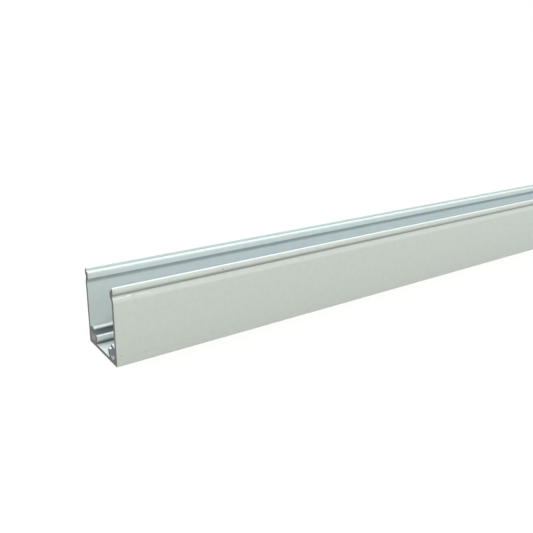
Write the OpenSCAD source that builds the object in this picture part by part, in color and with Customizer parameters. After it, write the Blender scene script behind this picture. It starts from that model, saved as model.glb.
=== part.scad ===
// Open aluminium channel profile, extruded in one piece and sawn to length.
// It lies on its base: length along X, open side up, origin at the middle of the base.
// Both rims carry a snap bead for a clip-on cover, with a crest on it and a groove behind it.
// Both inside bottom corners carry an open screw port for the screws of an end cap.

/* [Stock] */
// Length that the profile is sawn to
length = 500; // [100:50:3000]
// Width over the outer faces
width = 20; // [16:0.5:40]
// Height from the base to the top of the rims
height = 23.5; // [18:0.5:50]
// Thickness of the side walls
wall_t = 1.0; // [0.8:0.1:1.5]
// Thickness of the floor
floor_t = 1.0; // [0.8:0.1:1.6]
// Radius of the outer bottom corners
corner_r = 0.3; // [0.2:0.1:1]

/* [Snap rim] */
// Distance from the outer face to the inner face of the crest
crest_in = 0.85; // [0.8:0.05:1]
// Height of the crest above the lead-in
crest_h = 0.8; // [0.6:0.05:1]
// Radius of the crest's inner edge
crest_r = 0.2; // [0.1:0.05:0.25]
// Radius of the crest's outer edge
crown_r = 0.4; // [0.2:0.05:0.45]
// Drop from the top of the crest to where the outer face starts to lean in
brow_drop = 0.8; // [0.8:0.05:1]
// Slope of the leaning brow, from level
brow_slope = 72; // [70:1:80]
// Radius between the brow and the upright outer face
brow_r = 2.8; // [1:0.1:2.8]
// Slope of the lead-in from the crest down to the bead, from level
lead_slope = 15; // [10:1:45]
// Radius between the lead-in and the bead's inner face
shoulder_r = 0.6; // [0.2:0.05:0.8]
// Width of the bead, from the outer face to its inner face
bead_w = 2.0; // [1.7:0.1:2.4]
// Height of the bead's upright inner face
bead_face_h = 1.85; // [1:0.05:2.2]
// Slope of the heel under the bead, from level
heel_slope = 50; // [45:1:60]
// Radius of the cove between the heel and the wall
heel_r = 2.0; // [0.5:0.1:2.1]
// Depth of the groove under the lip, from the outer face
groove_d = 0.5; // [0.4:0.05:0.6]
// Height of the upright root of the groove
groove_root_h = 0.3; // [0.3:0.05:0.8]
// Drop from the top of the crest to the groove's root
groove_drop = 2.4; // [2.3:0.1:3]
// Slope of the overhang above the groove's root, from level
overhang_slope = 48; // [40:1:50]
// Radius between the overhang and the upright outer face
lip_r = 1.5; // [0.5:0.1:1.5]
// Slope of the flank below the groove's root, from level
flank_slope = 71; // [50:1:75]
// Radius where the flank runs out into the outer face
foot_r = 2.5; // [0.5:0.1:3]
// Radius of the small edges and inner corners of the rim
edge_r = 0.2; // [0.1:0.05:0.25]

/* [Screw port] */
// Diameter of the port
port_d = 3.4; // [2.8:0.1:4.2]
// Thickness of the ring around the port
port_rib_t = 1.2; // [0.8:0.05:1.4]
// How far the port's middle stands off the wall and floor, as a share of the ring's outer radius
port_stand = 0.68; // [0.64:0.01:0.7]
// How far the floor rib reaches above level, seen from the port's middle
floor_rib_reach = 8; // [-10:1:30]
// How far the wall rib reaches past upright, seen from the port's middle
wall_rib_reach = 2; // [-20:1:30]

/* [Hidden] */
$fn = 96;
// The cut at an outer corner goes past it by this share of the way from the arc's middle.
cut_share = 0.25;
// Most of the overhang that the rounded lip takes up
overhang_share = 0.95;
// Most of the upright face between groove and brow that the rounded lip takes up
lip_share = 0.56;

port_r = port_d / 2;
port_out_r = port_r + port_rib_t;
port_mid_r = port_r + port_rib_t / 2;
port_off = port_stand * port_out_r;
port_mid = [wall_t + port_off, floor_t + port_off];

root_top_z = height - groove_drop;
root_low_z = root_top_z - groove_root_h;
lip_z = root_top_z + groove_d * tan(overhang_slope);
groove_foot_z = root_low_z - groove_d * tan(flank_slope);
brow_z = height - brow_drop;
crest_out = brow_drop / tan(brow_slope);
ledge_z = height - crest_h;
shoulder_z = ledge_z - (bead_w - crest_in) * tan(lead_slope);
heel_z = shoulder_z - bead_face_h;
heel_foot_z = heel_z - (bead_w - wall_t) * tan(heel_slope);

// The lip's arc keeps to its share of the overhang, and lip and brow share the face between them.
lip_half = tan((90 - overhang_slope) / 2);
brow_half = tan((90 - brow_slope) / 2);
lip_on_overhang = overhang_share * (groove_d / cos(overhang_slope) - edge_r * lip_half);
lip_on_face = lip_share * (brow_z - lip_z);
brow_on_face = brow_z - lip_z - lip_on_face;
lip_arc_r = min(lip_r, lip_on_overhang / lip_half, lip_on_face / lip_half);
brow_arc_r = min(brow_r, brow_on_face / brow_half);

// One side of the section, up the outer face, over the crest and bead and down the inner face.
// Each corner is [distance in from the outer face, height, radius]; the port covers the last.
side = [
    [0, 0, corner_r],
    [0, groove_foot_z, foot_r],
    [groove_d, root_low_z, edge_r],
    [groove_d, root_top_z, edge_r],
    [0, lip_z, lip_arc_r],
    [0, brow_z, brow_arc_r],
    [crest_out, height, crown_r],
    [crest_in, height, crest_r],
    [crest_in, ledge_z, edge_r],
    [bead_w, shoulder_z, shoulder_r],
    [bead_w, heel_z, edge_r],
    [wall_t, heel_foot_z, heel_r],
    [wall_t, floor_t, edge_r]
];

function other_side(c) = [width - c[0], c[1], c[2]];
outline = concat(side, [for (i = [len(side) - 1 : -1 : 0]) other_side(side[i])]);
count = len(outline);
corners = [for (i = [0 : count - 1]) i];

function point(i) = [outline[i % count][0], outline[i % count][1]];
function radius(i) = outline[i][2];
function unit(v) = v / norm(v);
function to_before(i) = unit(point(i + count - 1) - point(i));
function to_after(i) = unit(point(i + 1) - point(i));
function half_angle(i) = acos(to_before(i) * to_after(i)) / 2;
// The outline runs clockwise, so the metal has an outer corner where this is positive.
function turn(i) = to_before(i)[0] * to_after(i)[1] - to_before(i)[1] * to_after(i)[0];

// Where the arc that rounds a corner has its middle, and where it meets both edges
function arc_mid(i) = point(i) + unit(to_before(i) + to_after(i)) * radius(i) / sin(half_angle(i));
function arc_start(i) = point(i) + to_before(i) * radius(i) / tan(half_angle(i));
function arc_end(i) = point(i) + to_after(i) * radius(i) / tan(half_angle(i));

// The edges, with an inner corner filled as far as the middle of its arc
filled_outline = [
    for (i = corners)
        each turn(i) > 0 ? [point(i)] : [arc_start(i), arc_mid(i), arc_end(i)]
];

// The disc that rounds a corner
module corner_disc(i) {
    translate(arc_mid(i))
        circle(r = radius(i));
}

// The metal outside the arc of an outer corner
module corner_tip(i) {
    beyond = point(i) + (point(i) - arc_mid(i)) * cut_share;
    difference() {
        polygon([arc_start(i), beyond, arc_end(i), arc_mid(i)]);
        corner_disc(i);
    }
}

// Floor, walls and rims, with every corner rounded
module channel_section() {
    difference() {
        polygon(filled_outline);
        for (i = corners)
            if (turn(i) > 0)
                corner_tip(i);
            else
                corner_disc(i);
    }
}

// A slice of a wide disc around the port's middle
module slice(from_angle, to_angle) {
    far = 2 * port_out_r;
    middle_angle = (from_angle + to_angle) / 2;
    polygon([
        [0, 0],
        far * [cos(from_angle), sin(from_angle)],
        far * [cos(middle_angle), sin(middle_angle)],
        far * [cos(to_angle), sin(to_angle)]
    ]);
}

// The disc that rounds the end of a rib at the given angle
module rib_end(angle) {
    rotate(angle)
        translate([port_mid_r, 0])
            circle(d = port_rib_t);
}

// A ring sunk into the corner of wall and floor, open between the ends of its two ribs
module port_section() {
    wall_rib_angle = 90 - wall_rib_reach;
    difference() {
        intersection() {
            circle(r = port_out_r);
            translate([-port_off - wall_t / 2, -port_off - floor_t / 2])
                square(2 * port_out_r + max(wall_t, floor_t));
        }
        circle(r = port_r);
        difference() {
            slice(floor_rib_reach, wall_rib_angle);
            rib_end(floor_rib_reach);
            rib_end(wall_rib_angle);
        }
    }
}

// Runs a flat shape of the section along the whole length
module along_length() {
    translate([-length / 2, -width / 2, 0])
        rotate([90, 0, 90])
            linear_extrude(height = length)
                children();
}

module screw_port() {
    along_length()
        translate(port_mid)
            port_section();
}

module channel_profile() {
    color("silver")
        union() {
            along_length()
                channel_section();
            screw_port();
            mirror([0, 1, 0])
                screw_port();
        }
}

channel_profile();
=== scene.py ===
import math
import bmesh
import bpy
from mathutils import Matrix, Vector


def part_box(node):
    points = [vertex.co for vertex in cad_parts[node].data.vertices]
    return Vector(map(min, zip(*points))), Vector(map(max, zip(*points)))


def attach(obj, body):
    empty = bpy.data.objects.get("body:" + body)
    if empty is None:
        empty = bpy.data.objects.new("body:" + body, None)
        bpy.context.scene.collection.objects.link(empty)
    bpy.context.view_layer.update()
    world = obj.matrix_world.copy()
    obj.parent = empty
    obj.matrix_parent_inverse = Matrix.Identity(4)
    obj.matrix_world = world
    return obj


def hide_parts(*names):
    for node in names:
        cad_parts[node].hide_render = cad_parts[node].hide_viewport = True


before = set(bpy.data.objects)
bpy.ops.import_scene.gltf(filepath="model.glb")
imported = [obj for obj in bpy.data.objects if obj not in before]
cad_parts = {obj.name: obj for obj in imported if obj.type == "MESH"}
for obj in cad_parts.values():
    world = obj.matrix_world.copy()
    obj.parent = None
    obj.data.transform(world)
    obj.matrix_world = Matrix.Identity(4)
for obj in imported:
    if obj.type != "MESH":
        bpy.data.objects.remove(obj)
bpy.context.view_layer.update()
mm = 0.001
low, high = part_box("channel_profile")
length, width, height = (high - low) / mm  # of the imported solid
print(f"frame loaded: {length:.1f} x {width:.1f} x {height:.1f} mm")


# sRGB hex to the linear colour that Blender works in
def linearColour(hexText):
    channels = [int(hexText[i:i + 2], 16) / 255 for i in (1, 3, 5)]
    linear = [c / 12.92 if c <= 0.04045 else ((c + 0.055) / 1.055) ** 2.4 for c in channels]
    return (*linear, 1.0)


# Adds one node: settings are the node's own fields, inputs are values or sockets to link
def addNode(tree, kind, settings={}, inputs={}):
    node = tree.nodes.new("ShaderNode" + kind)
    for name, value in settings.items():
        setattr(node, name, value)
    for name, value in inputs.items():
        if isinstance(value, bpy.types.NodeSocket):
            tree.links.new(value, node.inputs[name])
        else:
            node.inputs[name].default_value = value
    return node


# The section, as the solid has it, but with arcs fine enough to shade smoothly; mm and degrees
section = {
    "wall": 1.0,
    "floor": 1.0,
    "cornerRadius": 0.3,
    "crestIn": 0.85,  # outer face to the crest's inner face
    "crestHeight": 0.8,
    "crestRadius": 0.2,
    "crownRadius": 0.4,  # between the brow and the top of the crest
    "browDrop": 0.8,
    "browSlope": 72,
    "browRadius": 2.8,
    "leadSlope": 15,
    "shoulderRadius": 0.6,
    "beadWidth": 2.0,
    "beadFace": 1.85,
    "heelSlope": 50,
    "heelRadius": 2.0,
    "grooveDepth": 0.5,
    "grooveRoot": 0.3,
    "grooveDrop": 2.4,
    "overhangSlope": 48,
    "lipRadius": 1.5,
    "flankSlope": 71,
    "footRadius": 2.5,
    "edgeRadius": 0.2,
    "portRadius": 1.7,
    "ribThick": 1.2,
    "portStand": 0.68,  # port's middle to wall and floor, as a share of the ring's outer radius
    "floorRibReach": 8,  # above level
    "wallRibReach": 2,  # past upright
    "arcStep": 7,  # between points on an arc
    "sawnEdge": 0.06,  # width of the edge that the saw leaves broken
    "plainPoints": 7,  # points on the wall rib's back that still look like the wall
    "holeShadeRise": 2,  # 1: the painted shade on the floor rib is full at its foot, 2: half way down
    "sharpRadius": 0.3,  # edges this sharp or sharper are worn most and kept clear of painted shade, inner corners this sharp or sharper get the most painted shade
    "creaseAngle": 25,  # faces that meet more sharply than this don't shade into each other
}


def tangent(degrees):
    return math.tan(math.radians(degrees))


def arc(middle, radius, fromAngle, toAngle):
    steps = max(2, math.ceil(abs(toAngle - fromAngle) / section["arcStep"]))
    sweep = toAngle - fromAngle
    turns = [math.radians(fromAngle + sweep * i / steps) for i in range(steps + 1)]
    return [middle + radius * Vector((math.cos(a), math.sin(a))) for a in turns]


def roundedCorner(before, corner, after, radius):
    toBefore = (before - corner).normalized()
    toAfter = (after - corner).normalized()
    halfAngle = toBefore.angle(toAfter) / 2
    middle = corner + (toBefore + toAfter).normalized() * radius / math.sin(halfAngle)
    start = corner + toBefore * radius / math.tan(halfAngle) - middle
    end = corner + toAfter * radius / math.tan(halfAngle) - middle
    fromAngle = math.degrees(math.atan2(start.y, start.x))
    sweep = (math.degrees(math.atan2(end.y, end.x)) - fromAngle + 180) % 360 - 180
    return arc(middle, radius, fromAngle, fromAngle + sweep)


# Outer face, bead and inner face of one side: distance in from the outer face, height, radius
def sideCorners():
    s = section
    rootTop = height - s["grooveDrop"]
    rootLow = rootTop - s["grooveRoot"]
    lip = rootTop + s["grooveDepth"] * tangent(s["overhangSlope"])
    grooveFoot = rootLow - s["grooveDepth"] * tangent(s["flankSlope"])
    crestOut = s["browDrop"] / tangent(s["browSlope"])
    ledge = height - s["crestHeight"]
    shoulder = ledge - (s["beadWidth"] - s["crestIn"]) * tangent(s["leadSlope"])
    heel = shoulder - s["beadFace"]
    heelFoot = heel - (s["beadWidth"] - s["wall"]) * tangent(s["heelSlope"])
    return [
        (0, 0, s["cornerRadius"]),
        (0, grooveFoot, s["footRadius"]),
        (s["grooveDepth"], rootLow, s["edgeRadius"]),
        (s["grooveDepth"], rootTop, s["edgeRadius"]),
        (0, lip, s["lipRadius"]),
        (0, height - s["browDrop"], s["browRadius"]),
        (crestOut, height, s["crownRadius"]),
        (s["crestIn"], height, s["crestRadius"]),
        (s["crestIn"], ledge, s["edgeRadius"]),
        (s["beadWidth"], shoulder, s["shoulderRadius"]),
        (s["beadWidth"], heel, s["edgeRadius"]),
        (s["wall"], heelFoot, s["heelRadius"]),
    ]


# One screw port: over the rib on the wall, round the hole and over the rib on the floor.
# Its points are marked "port" where the metal looks bare, and "hole" in the hole
# and, more and more, down the face of the floor rib; the "hole" mark carries painted shade there,
# and a rougher finish in the hole itself.
def portOutline():
    s = section
    inner = s["portRadius"]
    outer = inner + s["ribThick"]
    stand = s["portStand"] * outer
    middle = Vector((s["wall"] + stand, s["floor"] + stand))
    root = math.degrees(math.asin(s["portStand"]))  # where the ring meets the wall or floor
    wallEnd = 90 - s["wallRibReach"]
    floorEnd = s["floorRibReach"]
    ends = []
    for angle in (wallEnd, floorEnd):
        a = math.radians(angle)
        ends.append(middle + (inner + outer) / 2 * Vector((math.cos(a), math.sin(a))))
    wallRib = arc(middle, outer, 90 + root, wallEnd)
    wallRib += arc(ends[0], s["ribThick"] / 2, wallEnd, wallEnd - 180)[1:-1]
    hole = arc(middle, inner, wallEnd, floorEnd + 360)
    floorRib = arc(ends[1], s["ribThick"] / 2, floorEnd + 180, floorEnd)[1:-1]
    foot = arc(middle, outer, floorEnd, -root)
    port = wallRib + hole + floorRib + foot
    # the last point also belongs to the floor, so it stays plain
    rise = [min(1, s["holeShadeRise"] * i / len(foot)) for i in range(len(foot) - 1)] + [0]
    bare = len(port) - s["plainPoints"] - 1
    return port, {
        "port": [0] * s["plainPoints"] + [1] * bare + [0],
        "hole": [0] * len(wallRib) + [1] * len(hole) + [0] * len(floorRib) + rise,
    }


# The whole section, once round, as points across (Y) and up (Z) from the middle of the base,
# with the ports' marks carried over to it
def sectionOutline():
    corners = sideCorners()
    places = [Vector(c[:2]) for c in corners]
    port, portMarks = portOutline()
    ends = [Vector((width - places[0].x, places[0].y)), port[0]]
    side = []
    for i, corner in enumerate(places):
        before = places[i - 1] if i else ends[0]
        after = places[i + 1] if i + 1 < len(places) else ends[1]
        side += roundedCorner(before, corner, after, corners[i][2])
    marks = {name: [0] * len(side) + mark for name, mark in portMarks.items()}
    side += port
    otherSide = [Vector((width - p.x, p.y)) for p in reversed(side)]
    points = [Vector((p.x - width / 2, p.y)) for p in side + otherSide]
    return points, {name: mark + mark[::-1] for name, mark in marks.items()}


# The same outline drawn in by a small step, for the broken edge at a saw cut
def drawnIn(outline, step):
    points = []
    for i, p in enumerate(outline):
        before = (p - outline[i - 1]).normalized()
        after = (outline[(i + 1) % len(outline)] - p).normalized()
        inward = Vector((before.y + after.y, -before.x - after.x)).normalized()
        points.append(p + inward * step)
    return points


# How sharply the outline turns at each point: up to 1 on outer edges, down to -1 in inner corners
def edgeBend(outline):
    bends = []
    for i, p in enumerate(outline):
        before = p - outline[i - 1]
        after = outline[(i + 1) % len(outline)] - p
        bend = before.angle_signed(after) / max(before.length, after.length)
        bends.append(min(1, max(-1, bend * section["sharpRadius"])))
    return bends


def makeProfile():
    anodisedSlot, sawnSlot = 0, 1
    outline, marks = sectionOutline()
    marks["bend"] = edgeBend(outline)
    edge = section["sawnEdge"]
    inset = drawnIn(outline, edge)
    half = length / 2
    stations = [(-half, inset), (edge - half, outline), (half - edge, outline), (half, inset)]
    bm = bmesh.new()
    rings = []
    for x, shape in stations:
        rings.append([bm.verts.new(Vector((x, p.x, p.y)) * mm) for p in shape])
    count = len(outline)
    for k, slot in enumerate((sawnSlot, anodisedSlot, sawnSlot)):
        for i in range(count):
            j = (i + 1) % count
            face = bm.faces.new((rings[k][i], rings[k][j], rings[k + 1][j], rings[k + 1][i]))
            face.material_index = slot
    for ring in (rings[0], list(reversed(rings[-1]))):
        bm.faces.new(ring).material_index = sawnSlot
    bmesh.ops.recalc_face_normals(bm, faces=bm.faces)
    bmesh.ops.triangulate(bm, faces=[f for f in bm.faces if len(f.verts) > 4])
    mesh = bpy.data.meshes.new("channelProfile")
    bm.to_mesh(mesh)
    bm.free()
    for name, values in marks.items():
        attribute = mesh.attributes.new(name, "FLOAT", "POINT")
        attribute.data.foreach_set("value", values * len(stations))
    mesh.shade_smooth()
    mesh.set_sharp_from_angle(angle=math.radians(section["creaseAngle"]))
    piece = bpy.data.objects.new("channelProfile", mesh)
    bpy.context.scene.collection.objects.link(piece)
    return piece


# Extruded aluminium, matt etched and silver anodised:
# a soft, even sheen with faint lines along the length
anodised = {
    "colour": "#D3DCDD",
    "dull": "#C7D0D1",
    "dieLineWidth": 0.5,  # mm across the line
    "dieLineLength": 90.0,  # mm along it
    "dieLineDetail": 3.0,
    "mottle": 2.0,  # mm
    "mottleDetail": 1.0,
    "mottleShare": 0.75,
    "grain": 0.35,  # mm; the real etch grain is too fine to show, so this is coarser
    "grainDetail": 2.0,
    "grainDepth": 0.02,  # mm
    "grainStrength": 0.15,
    "metallic": 0.08,  # the etched oxide scatters much of the light before it meets the metal
    "roughness": 0.5,
    "roughnessSpread": 0.08,
    "paintedShadeColour": "#566266",  # painted shade under ribs and overhangs, in corners and in the ports' holes
    "cornerReach": 2.5,  # mm; how near another face has to stand
    "cornerSamples": 8,
    "cornerOpen": 1.37,  # openness at which the painted shade starts
    "cornerDeep": 0.2,  # and at which it is full
    "underFrom": 0.0,  # upward part of the face's direction at which the painted shade on undersides starts
    "underFull": -0.35,
    "edgeClearFrom": 0.3,  # bend from which an outer edge is kept clear of the painted shade
    "portColour": "#F4F7F4",
    "portMetallic": 0.9,  # the oxide is thin in the screw ports, so they look more like bare metal
    "portRoughness": 0.36,
    "holeRoughness": 0.65,  # inside the hole the die leaves it torn
    "holeShade": 0.48,  # least share of the painted shade in the hole
    "worn": "#E6EBEB",  # small edges that have rubbed against other stock
    "wornMost": 0.2,
    "creaseShadeColour": "#5A5650",  # painted shade in sharp inner corners
    "creaseShadeMost": 0.45,
    "creaseShadeFrom": -0.3,  # bend at which a corner starts to get this painted shade
    "markCore": 0.33,  # share of a handling mark's reach that has its full colour
    "markRagged": 2.0,  # how far the grain pulls its outline in and out, as a share of its reach
}

# Handling marks on the near outer face, four specks and then a smear, a scratch, a pit and a
# scratch: mm from the sawn end, height, how far it reaches along and up in mm, colour
handlingMarks = [
    (1.3, 3.35, 0.3, 0.3, "#AAB0AA"),
    (9.0, 2.4, 0.3, 0.3, "#A8AEA8"),
    (34.45, 22.3, 0.27, 0.27, "#7E8380"),
    (67.85, 1.08, 0.7, 0.7, "#C2CDBF"),
    (1.8, 20.3, 2.6, 0.28, "#E2ECEF"),
    (4.7, 20.4, 1.6, 0.2, "#FAFDFC"),
    (6.0, 20.25, 0.22, 0.18, "#8E9490"),
    (8.9, 20.25, 2.8, 0.17, "#F2F7F7"),
]


# How much painted shade a point shows: under ribs and overhangs, in corners and in the ports'
# holes
def paintedCornerShade(tree, normal, hole, bend):
    a = anodised
    openness = addNode(tree, "AmbientOcclusion", {
        "samples": a["cornerSamples"],
        "only_local": True,
    }, {"Distance": a["cornerReach"] * mm})
    enclosed = addNode(tree, "MapRange", inputs={
        "Value": openness.outputs["AO"],
        "From Min": a["cornerOpen"],
        "From Max": a["cornerDeep"],
    })
    facing = addNode(tree, "SeparateXYZ", inputs={0: normal})
    under = addNode(tree, "MapRange", inputs={
        "Value": facing.outputs["Z"],
        "From Min": a["underFrom"],
        "From Max": a["underFull"],
    })
    shut = addNode(tree, "Math", {"operation": "MAXIMUM"}, {0: under.outputs["Result"], 1: hole})
    awayFromEdges = addNode(tree, "MapRange", inputs={
        "Value": bend,
        "From Min": a["edgeClearFrom"],
        "To Min": 1.0,
        "To Max": 0.0,
    })
    shadeableFaces = addNode(tree, "Math", {"operation": "MULTIPLY"}, {
        0: shut.outputs[0],
        1: awayFromEdges.outputs["Result"],
    })
    shadedCorners = addNode(tree, "Math", {"operation": "MULTIPLY"}, {
        0: enclosed.outputs["Result"],
        1: shadeableFaces.outputs[0],
    })
    inHole = addNode(tree, "MapRange", inputs={"Value": hole, "To Max": a["holeShade"]})
    return addNode(tree, "Math", {"operation": "MAXIMUM"}, {
        0: shadedCorners.outputs[0],
        1: inHole.outputs["Result"],
    }).outputs[0]


# Lays the handling marks over a colour, with outlines that the grain makes ragged
def addHandlingMarks(tree, place, grain, surface):
    a = anodised
    for along, up, reachAlong, reachUp, colour in handlingMarks:
        fromMiddle = addNode(tree, "VectorMath", {"operation": "SUBTRACT"}, {
            0: place,
            1: low + Vector((along, 0, up)) * mm,
        })
        share = addNode(tree, "VectorMath", {"operation": "DIVIDE"}, {
            0: fromMiddle.outputs[0],
            1: Vector((reachAlong, section["wall"], reachUp)) * mm,
        })
        apart = addNode(tree, "VectorMath", {"operation": "LENGTH"}, {0: share.outputs[0]})
        ragged = addNode(tree, "Math", {"operation": "MULTIPLY_ADD"}, {
            0: grain,
            1: a["markRagged"],
            2: apart.outputs["Value"],
        })
        inside = addNode(tree, "MapRange", inputs={
            "Value": ragged.outputs[0],
            "From Min": 1.0 + a["markRagged"] / 2,
            "From Max": a["markCore"] + a["markRagged"] / 2,
        })
        surface = addNode(tree, "Mix", {"data_type": "RGBA"}, {
            "Factor": inside.outputs["Result"],
            "A": surface,
            "B": linearColour(colour),
        }).outputs["Result"]
    return surface


def anodisedAluminium():
    a = anodised
    material = bpy.data.materials.new("anodisedAluminium")
    material.use_nodes = True
    tree = material.node_tree
    shader = tree.nodes["Principled BSDF"]
    coordinates = addNode(tree, "TexCoord")
    place = coordinates.outputs["Object"]
    port = addNode(tree, "Attribute", {"attribute_name": "port"}).outputs["Fac"]
    hole = addNode(tree, "Attribute", {"attribute_name": "hole"}).outputs["Fac"]
    bend = addNode(tree, "Attribute", {"attribute_name": "bend"}).outputs["Fac"]

    # die lines, mottle and grain
    across = 1 / (a["dieLineWidth"] * mm)
    stretch = (1 / (a["dieLineLength"] * mm), across, across)
    along = addNode(tree, "VectorMath", {"operation": "MULTIPLY"}, {0: place, 1: stretch})
    dieLines = addNode(tree, "TexNoise", inputs={
        "Vector": along.outputs[0],
        "Scale": 1.0,
        "Detail": a["dieLineDetail"],
    })
    mottle = addNode(tree, "TexNoise", inputs={
        "Vector": place,
        "Scale": 1 / (a["mottle"] * mm),
        "Detail": a["mottleDetail"],
    })
    grain = addNode(tree, "TexNoise", inputs={
        "Vector": place,
        "Scale": 1 / (a["grain"] * mm),
        "Detail": a["grainDetail"],
    })
    shade = addNode(tree, "Mix", inputs={
        "Factor": a["mottleShare"],
        "A": dieLines.outputs["Fac"],
        "B": mottle.outputs["Fac"],
    })

    # colour, from the oxide outwards: the bare ports, painted shade under faces and in corners,
    # worn edges, painted shade in sharp inner corners, then the handling marks
    tone = addNode(tree, "Mix", {"data_type": "RGBA"}, {
        "Factor": shade.outputs["Result"],
        "A": linearColour(a["dull"]),
        "B": linearColour(a["colour"]),
    })
    # painted shade in sharp inner corners, darker the sharper the corner
    creaseShade = addNode(tree, "MapRange", inputs={
        "Value": bend,
        "From Min": a["creaseShadeFrom"],
        "From Max": -1.0,
        "To Max": a["creaseShadeMost"],
    })
    rubbed = addNode(tree, "MapRange", inputs={"Value": bend, "To Max": a["wornMost"]})
    surface = tone.outputs["Result"]
    for factor, colour in (
        (port, "portColour"),
        (paintedCornerShade(tree, coordinates.outputs["Normal"], hole, bend), "paintedShadeColour"),
        (rubbed.outputs["Result"], "worn"),
        (creaseShade.outputs["Result"], "creaseShadeColour"),
    ):
        surface = addNode(tree, "Mix", {"data_type": "RGBA"}, {
            "Factor": factor,
            "A": surface,
            "B": linearColour(a[colour]),
        }).outputs["Result"]
    surface = addHandlingMarks(tree, place, grain.outputs["Fac"], surface)
    tree.links.new(surface, shader.inputs["Base Color"])

    # gloss and relief
    rough = addNode(tree, "MapRange", inputs={
        "Value": dieLines.outputs["Fac"],
        "To Min": a["roughness"] + a["roughnessSpread"] / 2,
        "To Max": a["roughness"] - a["roughnessSpread"] / 2,
    })
    smoother = addNode(tree, "Mix", inputs={
        "Factor": port,
        "A": rough.outputs["Result"],
        "B": a["portRoughness"],
    })
    torn = addNode(tree, "Mix", inputs={
        "Factor": hole,
        "A": smoother.outputs["Result"],
        "B": a["holeRoughness"],
    })
    tree.links.new(torn.outputs["Result"], shader.inputs["Roughness"])
    metallic = addNode(tree, "MapRange", inputs={
        "Value": port,
        "To Min": a["metallic"],
        "To Max": a["portMetallic"],
    })
    tree.links.new(metallic.outputs["Result"], shader.inputs["Metallic"])
    relief = addNode(tree, "Bump", inputs={
        "Strength": a["grainStrength"],
        "Distance": a["grainDepth"] * mm,
        "Height": grain.outputs["Fac"],
    })
    tree.links.new(relief.outputs["Normal"], shader.inputs["Normal"])
    return material


# Bare aluminium as the saw left it:
# dull and grey brown, with fine curved marks of the blade across the cut; the dark grey brown is
# partly the sawn metal's own colour and partly painted shade, for end faces turned from the light
sawn = {
    "cutColour": "#857F78",
    "cutDark": "#504C48",
    "cutRoughness": 0.55,
    "bladeMiddle": (-70.0, 105.0),  # mm across and up from the middle of the base
    "bladeMarkWidth": 0.3,  # mm
    "bladeMarkDetail": 2.0,
    "bladeMarkDepth": 0.03,  # mm
    "bladeMarkStrength": 0.4,
    "smear": 2.5,  # mm; patches where chips smeared over the marks
    "smearDetail": 2.0,
    "smearShare": 0.4,
}


def sawnAluminium():
    s = sawn
    material = bpy.data.materials.new("sawnAluminium")
    material.use_nodes = True
    tree = material.node_tree
    shader = tree.nodes["Principled BSDF"]
    place = addNode(tree, "TexCoord").outputs["Object"]
    across = addNode(tree, "VectorMath", {"operation": "MULTIPLY"}, {0: place, 1: (0, 1, 1)})
    fromBlade = addNode(tree, "VectorMath", {"operation": "DISTANCE"}, {
        0: across.outputs[0],
        1: Vector((0, *s["bladeMiddle"])) * mm,
    })
    bladeMarks = addNode(tree, "TexNoise", {"noise_dimensions": "1D"}, {
        "W": fromBlade.outputs["Value"],
        "Scale": 1 / (s["bladeMarkWidth"] * mm),
        "Detail": s["bladeMarkDetail"],
    })
    smear = addNode(tree, "TexNoise", inputs={
        "Vector": place,
        "Scale": 1 / (s["smear"] * mm),
        "Detail": s["smearDetail"],
    })
    shade = addNode(tree, "Mix", inputs={
        "Factor": s["smearShare"],
        "A": bladeMarks.outputs["Fac"],
        "B": smear.outputs["Fac"],
    })
    tone = addNode(tree, "Mix", {"data_type": "RGBA"}, {
        "Factor": shade.outputs["Result"],
        "A": linearColour(s["cutDark"]),
        "B": linearColour(s["cutColour"]),
    })
    tree.links.new(tone.outputs["Result"], shader.inputs["Base Color"])
    relief = addNode(tree, "Bump", inputs={
        "Strength": s["bladeMarkStrength"],
        "Distance": s["bladeMarkDepth"] * mm,
        "Height": bladeMarks.outputs["Fac"],
    })
    tree.links.new(relief.outputs["Normal"], shader.inputs["Normal"])
    shader.inputs["Metallic"].default_value = 1.0
    shader.inputs["Roughness"].default_value = s["cutRoughness"]
    return material


profile = makeProfile()
profile.data.materials.append(anodisedAluminium())
profile.data.materials.append(sawnAluminium())
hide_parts("channel_profile")
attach(profile, "root")
print(f"profile made: {len(profile.data.polygons)} faces")


# Camera, measured from the near bottom corner of the near sawn end, in mm and degrees
camera = {
    "fromCorner": (-59.4, -151.2, 87.4),
    "turn": 54.01,  # left of +X
    "down": 19.78,
    "lean": 1.30,
    "lens": 43.24,
    "sensor": 36.0,
    "nearest": 1.0,  # nothing closer is drawn
}


def makeCamera():
    c = camera
    turn, down, lean = (math.radians(c[k]) for k in ("turn", "down", "lean"))
    ahead = Vector((math.cos(turn), math.sin(turn), 0))
    look = math.cos(down) * ahead - math.sin(down) * Vector((0, 0, 1))
    level = Vector((math.sin(turn), -math.cos(turn), 0))
    upright = level.cross(look)
    right = math.cos(lean) * level + math.sin(lean) * upright
    up = math.cos(lean) * upright - math.sin(lean) * level
    data = bpy.data.cameras.new("camera")
    data.lens = c["lens"]
    data.sensor_width = c["sensor"]
    data.clip_start = c["nearest"] * mm
    obj = bpy.data.objects.new("camera", data)
    turned = Matrix((right, up, -look)).transposed().to_4x4()
    obj.matrix_world = Matrix.Translation(low + Vector(c["fromCorner"]) * mm) @ turned
    bpy.context.scene.collection.objects.link(obj)
    bpy.context.scene.camera = obj


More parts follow.
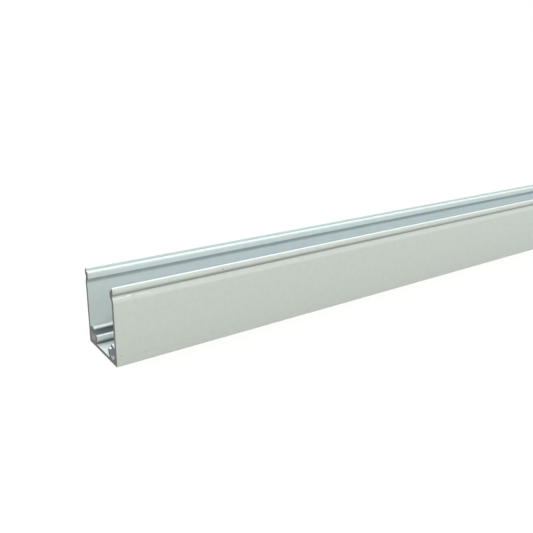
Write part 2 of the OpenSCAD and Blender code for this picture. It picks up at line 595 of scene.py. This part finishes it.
# Plain studio: a softbox in front, a cooler one behind that fills the channel, an even surround
# and a pale sheet; sizes and places in m, and a level of 1 is white
studio = {
    "white": "#FFFFFF",  # what the camera sees of the sheet and the surround
    "sheetColour": "#F2F2F2",
    "sheetBounce": "#676156",  # what the sheet throws back: warm, and low so undersides stay dark
    "sheetGlow": 0.88,  # share of the sheet's white that shadows don't touch
    "sheetRadius": 1.2,
    "sheetSides": 96,
    "sheetDrop": 0.00005,  # below the base, so that the two faces don't share a plane
    "surround": 1.2,
    "surroundTint": "#FFFCEA",
    "frontSize": 1.4,
    "frontPlace": (0.0, -1.3, 1.1),
    "frontLevel": 1.36,
    "frontTint": "#E8F0FA",
    "backSize": 1.6,
    "backPlace": (0.0, 0.9, 1.4),
    "backLevel": 3.4,
    "backTint": "#B8D0FF",
}


# 1 where the camera, a reflection or glass sees a surface, 0 where only its light counts
def seenDirectly(tree):
    path = addNode(tree, "LightPath")
    seen = addNode(tree, "Math", {"operation": "MAXIMUM"}, {
        0: path.outputs["Is Camera Ray"],
        1: path.outputs["Is Glossy Ray"],
    })
    return addNode(tree, "Math", {"operation": "MAXIMUM"}, {
        0: seen.outputs[0],
        1: path.outputs["Is Transmission Ray"],
    }).outputs[0]


def makeSheet():
    bm = bmesh.new()
    bmesh.ops.create_circle(
        bm,
        cap_ends=True,
        segments=studio["sheetSides"],
        radius=studio["sheetRadius"],
        matrix=Matrix.Translation((0, 0, low.z - studio["sheetDrop"])),
    )
    mesh = bpy.data.meshes.new("sheet")
    bm.to_mesh(mesh)
    bm.free()
    obj = bpy.data.objects.new("sheet", mesh)
    bpy.context.scene.collection.objects.link(obj)
    material = bpy.data.materials.new("mattPaleSheet")
    material.use_nodes = True
    tree = material.node_tree
    shader = tree.nodes["Principled BSDF"]
    shader.inputs["Base Color"].default_value = linearColour(studio["sheetColour"])
    shader.inputs["Roughness"].default_value = 1.0
    shader.inputs["Specular IOR Level"].default_value = 0.0
    white = addNode(tree, "Emission", inputs={"Color": linearColour(studio["white"])})
    shown = addNode(tree, "MixShader", inputs={
        0: studio["sheetGlow"],
        1: shader.outputs[0],
        2: white.outputs[0],
    })
    bounce = addNode(tree, "BsdfDiffuse", inputs={"Color": linearColour(studio["sheetBounce"])})
    both = addNode(tree, "MixShader", inputs={
        0: seenDirectly(tree),
        1: bounce.outputs[0],
        2: shown.outputs[0],
    })
    tree.links.new(both.outputs[0], tree.nodes["Material Output"].inputs["Surface"])
    mesh.materials.append(material)


def makeSoftbox(name):
    size = studio[name + "Size"]
    data = bpy.data.lights.new(name + "Softbox", "AREA")
    data.shape = "SQUARE"
    data.size = size
    data.energy = studio[name + "Level"] * math.pi * size * size
    data.color = linearColour(studio[name + "Tint"])[:3]
    obj = bpy.data.objects.new(name + "Softbox", data)
    obj.location = studio[name + "Place"]
    obj.rotation_euler = (-obj.location).to_track_quat("-Z", "Y").to_euler()
    obj.visible_camera = False
    bpy.context.scene.collection.objects.link(obj)


def makeSurround():
    world = bpy.data.worlds.new("surround")
    world.use_nodes = True
    tree = world.node_tree
    light = tree.nodes["Background"]
    light.inputs["Strength"].default_value = studio["surround"]
    light.inputs["Color"].default_value = linearColour(studio["surroundTint"])
    white = addNode(tree, "Background", inputs={
        "Color": linearColour(studio["white"]),
        "Strength": 1.0,
    })
    both = addNode(tree, "MixShader", inputs={
        0: seenDirectly(tree),
        1: light.outputs[0],
        2: white.outputs[0],
    })
    tree.links.new(both.outputs[0], tree.nodes["World Output"].inputs["Surface"])
    bpy.context.scene.world = world


makeCamera()
makeSheet()
makeSoftbox("front")
makeSoftbox("back")
makeSurround()
bpy.context.scene.view_settings.view_transform = "Standard"
print("camera, sheet and lights made")
